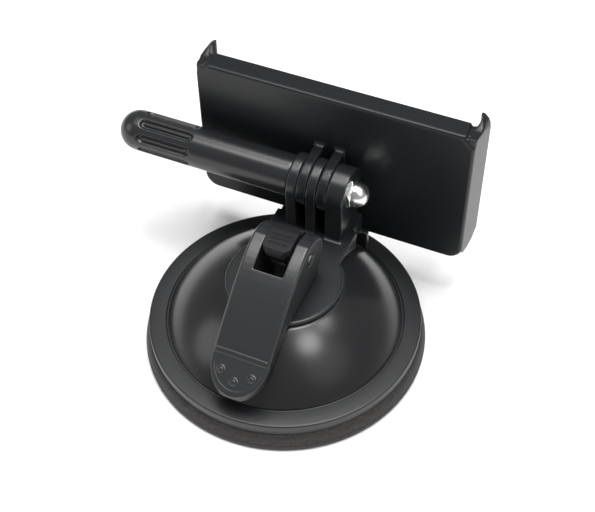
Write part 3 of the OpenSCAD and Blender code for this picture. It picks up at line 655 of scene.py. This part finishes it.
class MOUNT_OT_base_shell(PieceOperator):
    """Polished dome with its flat ring"""

    bl_idname = "mount.base_shell"
    bl_label = "Base shell"

    def build(self, shape, colours):
        low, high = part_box("base_shell")
        outer, ring, foot = high.x, shape.ring_z, low.z
        dome_r, wall = outer - shape.ring_w, 2.4 * MM
        rise = shape.dome_rise
        curve_r = (dome_r ** 2 + rise ** 2) / (2 * rise)
        centre = ring + rise - curve_r

        def arc(radius, start, end, steps):
            """Points of a sphere about the dome's centre, between two distances from the axis."""
            first, last = math.asin(start / radius), math.asin(end / radius)
            turns = [first + (last - first) * i / steps for i in range(steps)]
            return [(radius * math.sin(t), centre + radius * math.cos(t), 0) for t in turns]

        def reach(radius, height):
            """Distance from the axis at which that sphere meets a height."""
            return math.sqrt(radius ** 2 - (height - centre) ** 2)

        seat_r = shape.disc_r + 0.6 * MM
        shelf = centre + math.sqrt(curve_r ** 2 - seat_r ** 2)
        dome = arc(curve_r, seat_r, dome_r, 56)
        inner_r, ceiling, under = curve_r - wall, shelf - 2.7 * MM, ring - wall
        inside = arc(inner_r, reach(inner_r, under), reach(inner_r, ceiling), 20)
        bore, washer_r, floor, hub = 9.06 * MM, 16.5 * MM, shelf - 0.5 * MM, shelf - 3.8 * MM
        trench, skirt, foot_r, ease = ring - 0.5 * MM, outer - 2.8 * MM, outer - 0.16 * MM, 0.1 * MM
        outline = round_corners(
            [(bore, floor, 0), (washer_r, floor, 0.05 * MM), (washer_r, shelf, ease)] + dome
            + [(dome_r, ring + 0.12 * MM, ease), (dome_r + 0.02 * MM, trench, 0.15 * MM),
               (dome_r + 0.62 * MM, trench, 0.15 * MM), (dome_r + 0.75 * MM, ring, 0.14 * MM),
               (outer, ring, 0.62 * MM), (outer, foot + 1.5 * MM, 0.2 * MM),
               (foot_r, foot + 1.35 * MM, ease), (foot_r, foot + 0.02 * MM, 0.2 * MM),
               (skirt, foot, ease), (skirt, under, ease)] + inside
            + [(14 * MM, ceiling, 0), (13.4 * MM, hub, 0), (bore, hub, 0), (bore, floor, 0)])
        f = Finish("Shell gloss", colours.shell, 0.16, Specular_IOR_Level=0.5)
        x, y = f.b.split(f.place())[:2]
        radius = f.b.math("SQRT", f.b.math("ADD", f.b.math("MULTIPLY", x, x), f.b.math("MULTIPLY", y, y)))
        on_ring = f.b.ramp(radius, dome_r - 0.1 * MM, dome_r + 0.3 * MM)
        marks = f.group(effect("marks"), Scale=42.0, Rough=0.25, Spread=0.09)
        skin = f.group(effect("grain"), Scale=1900.0, Softness=0.6)
        waves = f.b.add("ShaderNodeTexNoise", {"Vector": f.place(), "Scale": 55.0, "Detail": 1.0})
        f.tint(on_ring, (0.0105, 0.0112, 0.0122))
        f.tint(marks["Dust"], (0.2, 0.195, 0.19), 0.07)
        f.roughness(f.b.math("MULTIPLY_ADD", on_ring, 0.12, marks["Roughness"]))
        f.bump(waves.outputs[0], 3e-5, 0.35)
        grained = f.b.math("MULTIPLY_ADD", on_ring, 0.9, 0.1)
        f.bump(f.b.math("MULTIPLY", skin["Height"], grained), 6e-6, 0.6)
        shell = grown("shell_dome", turned_tree(), {"Steps": shape.around, "Finish": f.material}, outline)
        seat(shell, "base", "shell_gloss", "base_shell")


class MOUNT_OT_turret(PieceOperator):
    """Swivelling disc, arm and three-finger fork"""

    bl_idname = "mount.turret"
    bl_label = "Turret and fork"

    def build(self, shape, colours):
        f = moulded_plastic("Fork plastic", colours.turret, 0.3, 0.08, 0.5, 6e-6, specular=0.5, edge_wear_and_sheen=0.8)
        body = softened("turret_body", "turret_fork", shape.turret_cell, 4, f)
        seat(body, "turret", "fork_plastic", "turret_fork")


class MOUNT_OT_lever(PieceOperator):
    """Cam lever with its stepped thumb pad"""

    bl_idname = "mount.lever"
    bl_label = "Lever"

    def build(self, shape, colours):
        f = moulded_plastic("Lever plastic", colours.lever, 0.3, 0.06, 0.6, 6e-6, specular=0.55, edge_wear_and_sheen=0.6,
                            scale=2200.0)
        body = softened("lever_body", "lever", shape.lever_cell, 5, f)
        seat(body, "lever", "lever_plastic", "lever")
        low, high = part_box("lever")
        half, tip = high.x, low.y
        step, lip_half, lip_long = tip + 8.9 * MM, half - 1.15 * MM, 7.0 * MM
        step_half, lip_start, lip_sweep = half * 0.93, 196, 148
        across = [(step_half * (i / 12 - 1), step + 0.42 * MM) for i in range(25)]
        turns = [math.radians(lip_start + lip_sweep * i / 40) for i in range(41)]
        lip = [(lip_half * math.cos(t), step - 0.7 * MM + lip_long * math.sin(t)) for t in turns]
        beads = (("lever_step_bead", across, shape.bead * 1.5), ("lever_lip_bead", lip, shape.bead))
        for name, line, size in beads:
            bead = draped_bead(name, line, body, size, f)
            seat(bead, "lever", "lever_plastic")


class MOUNT_OT_lock_slider(PieceOperator):
    """Lock slider with its grip lines"""

    bl_idname = "mount.lock_slider"
    bl_label = "Lock slider"

    def build(self, shape, colours):
        f = moulded_plastic("Slider plastic", colours.slider, 0.5, 0.06, 0.6, 8e-6, specular=0.2, edge_wear_and_sheen=0.9)
        body = softened("slider_body", "lock_slider", shape.slider_cell, 4, f)
        seat(body, "lock", "slider_plastic", "lock_slider")


class MOUNT_OT_clamp_handle(PieceOperator):
    """Round clamp handle with its grip grooves"""

    bl_idname = "mount.clamp_handle"
    bl_label = "Clamp handle"

    def build(self, shape, colours):
        low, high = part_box("clamp_handle")
        r, length = (high.y - low.y) / 2, high.x - low.x
        tip, bore, pocket_r = length - r, 2.5 * MM, 3.6 * MM
        bore_end, pocket_start = 22 * MM, 15 * MM
        outline = [(0, length)] + list(reversed(round_end(r, tip, r, 4, 23)))
        outline += [(r, 0.6 * MM), (r - 0.12 * MM, 0.25 * MM), (r - 0.5 * MM, 0), (bore, 0),
                    (bore, pocket_start), (pocket_r, pocket_start), (pocket_r, bore_end), (0, bore_end)]
        outline = subdivided(outline, 0.32 * MM)
        f = moulded_plastic("Handle plastic", colours.handle, 0.26, 0.08, 0.5, 5e-6, specular=0.55, edge_wear_and_sheen=0.6)
        values = {"Steps": shape.around, "Grooves": shape.grooves, "Groove Depth": shape.groove_depth,
                  "Groove Half Width": shape.groove_half,
                  "Groove Length": shape.groove_length - 2 * shape.groove_half,
                  "Groove Middle": tip - 10.3 * MM, "Ridge Height": shape.ridge_height,
                  "Ridge Half Width": 0.62 * MM, "Bore Radius": 4.2 * MM, "Finish": f.material}
        handle = grown("handle_body", fluted_tree(), values, outline)
        axis = Vector((high.x, (low.y + high.y) / 2, (low.z + high.z) / 2))
        handle.data.transform(Matrix.Translation(axis) @ Matrix.Rotation(-math.pi / 2, 4, "Y"))
        seat(handle, "clamp", "handle_plastic", "clamp_handle")


class MOUNT_OT_acorn_nut(PieceOperator):
    """Polished acorn nut"""

    bl_idname = "mount.acorn_nut"
    bl_label = "Acorn nut"

    def build(self, shape, colours):
        f = metal("Nut metal", colours.nut, 0.24, 0, 14000.0)
        body = softened("nut_body", "acorn_nut", shape.nut_cell, 3, f)
        seat(body, "turret", "nut_chrome", "acorn_nut")


class MOUNT_OT_cradle(PieceOperator):
    """Cradle plate with its ledges, end walls and lugs"""

    bl_idname = "mount.cradle"
    bl_label = "Cradle"

    def build(self, shape, colours):
        f = moulded_plastic("Cradle plastic", colours.cradle, 0.3, 0.04, 0.5, 6e-6, specular=0.34, edge_wear_and_sheen=0.6)
        body = softened("cradle_body", "cradle_tray", shape.cradle_cell, 3, f)
        seat(body, "cradle", "cradle_plastic", "cradle_tray")


class MOUNT_OT_grip_pads(PieceOperator):
    """Ribbed rubber pads inside the cradle"""

    bl_idname = "mount.grip_pads"
    bl_label = "Grip pads"

    def build(self, shape, colours):
        low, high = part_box("cradle_pads")
        f = Finish("Pad rubber", colours.pad, 0.7, Specular_IOR_Level=0.3)
        skin = f.group(effect("grain"), Scale=1400.0, Softness=0.9)
        marks = f.group(effect("marks"), Scale=120.0, Rough=0.7, Spread=0.14)
        f.tint(skin["Speckle"], (0.04, 0.04, 0.04), 0.6)
        f.tint(marks["Dust"], (0.2, 0.19, 0.18), 0.5)
        f.roughness(marks["Roughness"])
        f.bump(skin["Height"], 1.5e-5, 0.5)
        inner = min(v.co.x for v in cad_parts["cradle_pads"].data.vertices if v.co.x > 0)
        width, rib = high.x - inner, 0.3 * MM
        thickness = high.y - low.y - rib
        middle, face, height = (inner + high.x) / 2, low.y + thickness / 2, (low.z + high.z) / 2
        tree = ribbed_pad_tree()
        for side, name in ((-1, "grip_pad_left"), (1, "grip_pad_right")):
            values = {"Width": width, "Height": high.z - low.z, "Thickness": thickness,
                      "Pitch": shape.pad_rib_pitch, "Rib": rib, "Centre": (side * middle, face, height),
                      "Finish": f.material}
            seat(grown(name, tree, values), "cradle", "pad_rubber", "cradle_pads")


class MOUNT_OT_pivot_pin(PieceOperator):
    """Lever's pivot pin with domed ends"""

    bl_idname = "mount.pivot_pin"
    bl_label = "Pivot pin"

    def build(self, shape, colours):
        low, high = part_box("pivot_pin")
        r, half, crown = (high.y - low.y) / 2, (high.x - low.x) / 2, 0.45 * MM
        cap = round_end(r, half - crown, crown, 9, 11)
        outline = [(x, -z) for x, z in reversed(cap)] + cap
        f = metal("Pin steel", colours.steel, 0.2, 0, 9000.0)
        pin = grown("pin_body", turned_tree(), {"Steps": 64, "Finish": f.material}, outline)
        pin.data.transform(Matrix.Translation((low + high) / 2) @ Matrix.Rotation(math.pi / 2, 4, "Y"))
        seat(pin, "lever", "pin_steel", "pivot_pin")


class MOUNT_OT_return_spring(PieceOperator):
    """Return spring under the hub"""

    bl_idname = "mount.return_spring"
    bl_label = "Return spring"

    def build(self, shape, colours):
        low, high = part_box("return_spring")
        wire = 0.4 * MM
        f = metal("Spring steel", colours.steel, 0.3, 2, 9000.0)
        values = {"Turns": 3.5, "Radius": high.x - wire, "Height": high.z - low.z - 2 * wire, "Wire": wire,
                  "Base": (0.0, 0.0, low.z + wire), "Finish": f.material}
        spring = grown("spring_coil", coil_tree(), values)
        seat(spring, "cup_centre", "spring_steel", "return_spring")


class MOUNT_OT_inner_parts(PieceOperator):
    """Finishes of the pieces that the frame already shapes"""

    bl_idname = "mount.inner_parts"
    bl_label = "Inner parts"

    def build(self, shape, colours):
        steel = metal("Plated steel", colours.steel, 0.26, 2, 9000.0)
        cross = metal("Plated steel across", colours.steel, 0.2, 0, 9000.0)
        grey = moulded_plastic("Insert plastic", colours.insert, 0.5, 0.1, 0.6, 1e-5, edge_wear_and_sheen=0.3)
        white = moulded_plastic("Slip washer", colours.washer, 0.35, 0.08, 0.3, 4e-6, edge_wear_and_sheen=0.1)
        finishes = {"pull_stud": steel, "hub_keeper": steel, "hub_screws": steel, "clamp_screw": cross,
                    "cup_insert": grey, "insert_cap": grey, "swivel_washer": white}
        for node, finish in finishes.items():
            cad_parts[node].data.materials.clear()
            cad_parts[node].data.materials.append(finish.material)


# ---------------------------------------------------------------- stage


# Name, compass direction and elevation in degrees, width and height in metres, watts
SOFT_LIGHTS = (
    ("Key disc", 118, 59, (0.28, 0.28), 2.25),
    ("Second disc", 74, 60, (0.2, 0.2), 0.95),
    ("Left front light", -120, 25, (0.5, 0.5), 1.1),
    ("Lever light", -120, 71, (0.32, 0.32), 1.7),
    ("Right light", 112, 38, (0.6, 0.55), 0.58),
    ("Handle light", -38, 68, (0.5, 0.2), 1.15),
)
LAMP_DISTANCE, LAMP_AIM = 0.9, Vector((0, 0.02, 0.03))
# The overhead light's compass direction and elevation, and how wide it looks, in degrees
TOP_DIRECTION, TOP_ELEVATION, TOP_SPREAD = 20, 84, 26
FLOOR_REACH = 3.0


def compass(azimuth, elevation):
    """Direction from the object, with azimuth 0 at the back and 90 to the right."""
    a, e = math.radians(azimuth), math.radians(elevation)
    return Vector((math.sin(a) * math.cos(e), math.cos(a) * math.cos(e), math.sin(e)))


def soft_panel(name, azimuth, elevation, size, power):
    """Oval area light at a compass direction, turned to the object."""
    data = bpy.data.lights.new(name, "AREA")
    data.shape, data.size, data.size_y, data.energy = "ELLIPSE", size[0], size[1], power
    lamp = new_object(name, data)
    lamp.location = compass(azimuth, elevation) * LAMP_DISTANCE + LAMP_AIM
    lamp.rotation_euler = (lamp.location - LAMP_AIM).to_track_quat("Z", "Y").to_euler()


class MOUNT_OT_stage(bpy.types.Operator):
    """Pale floor, soft light and the camera"""

    bl_idname = "mount.stage"
    bl_label = "Stage"

    def execute(self, context):
        stage, colours = context.scene.mount_stage, context.scene.mount_finish
        a, e, roll = stage.azimuth, stage.elevation, stage.roll
        back = Vector((math.sin(a) * math.cos(e), -math.cos(a) * math.cos(e), math.sin(e)))
        level = Vector((math.cos(a), math.sin(a), 0))
        up = back.cross(level)
        right = level * math.cos(roll) + up * math.sin(roll)
        top = up * math.cos(roll) - level * math.sin(roll)
        lens = bpy.data.cameras.new("Camera")
        lens.lens, lens.sensor_width, lens.sensor_fit = stage.lens, 36.0, "HORIZONTAL"
        lens.clip_start, lens.clip_end = 0.01, 20.0
        camera = new_object("Camera", lens)
        camera.matrix_world = Matrix((right, top, back)).transposed().to_4x4()
        camera.location = Vector(stage.target) + back * stage.distance
        context.scene.camera = camera

        ground = bmesh.new()
        bmesh.ops.create_grid(ground, x_segments=24, y_segments=24, size=FLOOR_REACH)
        mesh = bpy.data.meshes.new("studio_floor")
        ground.to_mesh(mesh)
        ground.free()
        floor = new_object("studio_floor", mesh)
        f = Finish("Studio floor", colours.floor, 0.85, Specular_IOR_Level=0.1)
        paper = f.b.add("ShaderNodeTexNoise", {"Vector": f.place(), "Scale": 700.0, "Detail": 2.0})
        f.tint(f.b.ramp(paper.outputs[0], 0.3, 0.7), (0.88, 0.88, 0.88), 0.5)
        f.bump(paper.outputs[0], 2e-5, 0.2)
        floor.data.materials.append(f.material)

        world = bpy.data.worlds.new("Studio")
        world.use_nodes = True
        sky = world.node_tree.nodes["Background"].inputs
        sky["Color"].default_value, sky["Strength"].default_value = (1, 1, 1, 1), stage.sky
        context.scene.world = world
        sun = bpy.data.lights.new("Top light", "SUN")
        sun.energy, sun.angle = stage.top, math.radians(TOP_SPREAD)
        top_light = new_object("Top light", sun)
        overhead = compass(TOP_DIRECTION, TOP_ELEVATION)
        top_light.rotation_euler = overhead.to_track_quat("Z", "Y").to_euler()
        for light in SOFT_LIGHTS:
            soft_panel(*light)
        context.scene.view_settings.view_transform = "Standard"
        context.scene.view_settings.look = "None"
        return {"FINISHED"}


class MOUNT_PT_panel(bpy.types.Panel):
    """Lists the mount's pieces in the sidebar"""

    bl_label = "Suction Mount"
    bl_idname = "MOUNT_PT_panel"
    bl_space_type = "VIEW_3D"
    bl_region_type = "UI"
    bl_category = "Mount"

    def draw(self, context):
        for operator in PIECES:
            self.layout.operator(operator.bl_idname)
        for group in (context.scene.mount_shape, context.scene.mount_finish, context.scene.mount_stage):
            box = self.layout.box()
            for name in group.__annotations__:
                box.prop(group, name)


PIECES = (MOUNT_OT_rubber_cup, MOUNT_OT_base_shell, MOUNT_OT_turret, MOUNT_OT_lever, MOUNT_OT_lock_slider,
          MOUNT_OT_clamp_handle, MOUNT_OT_acorn_nut, MOUNT_OT_cradle, MOUNT_OT_grip_pads, MOUNT_OT_pivot_pin,
          MOUNT_OT_return_spring, MOUNT_OT_inner_parts, MOUNT_OT_stage)
SETTINGS = {"mount_shape": MountShape, "mount_finish": MountFinish, "mount_stage": MountStage}


def register():
    for cls in (*SETTINGS.values(), *PIECES, MOUNT_PT_panel):
        bpy.utils.register_class(cls)
    for name, cls in SETTINGS.items():
        setattr(bpy.types.Scene, name, PointerProperty(type=cls))


def unregister():
    for name in SETTINGS:
        delattr(bpy.types.Scene, name)
    for cls in reversed((*SETTINGS.values(), *PIECES, MOUNT_PT_panel)):
        bpy.utils.unregister_class(cls)


def main():
    """Builds every piece and the stage."""
    register()
    for operator in PIECES:
        group, name = operator.bl_idname.split(".")
        getattr(getattr(bpy.ops, group), name)()


if __name__ == "__main__":
    main()
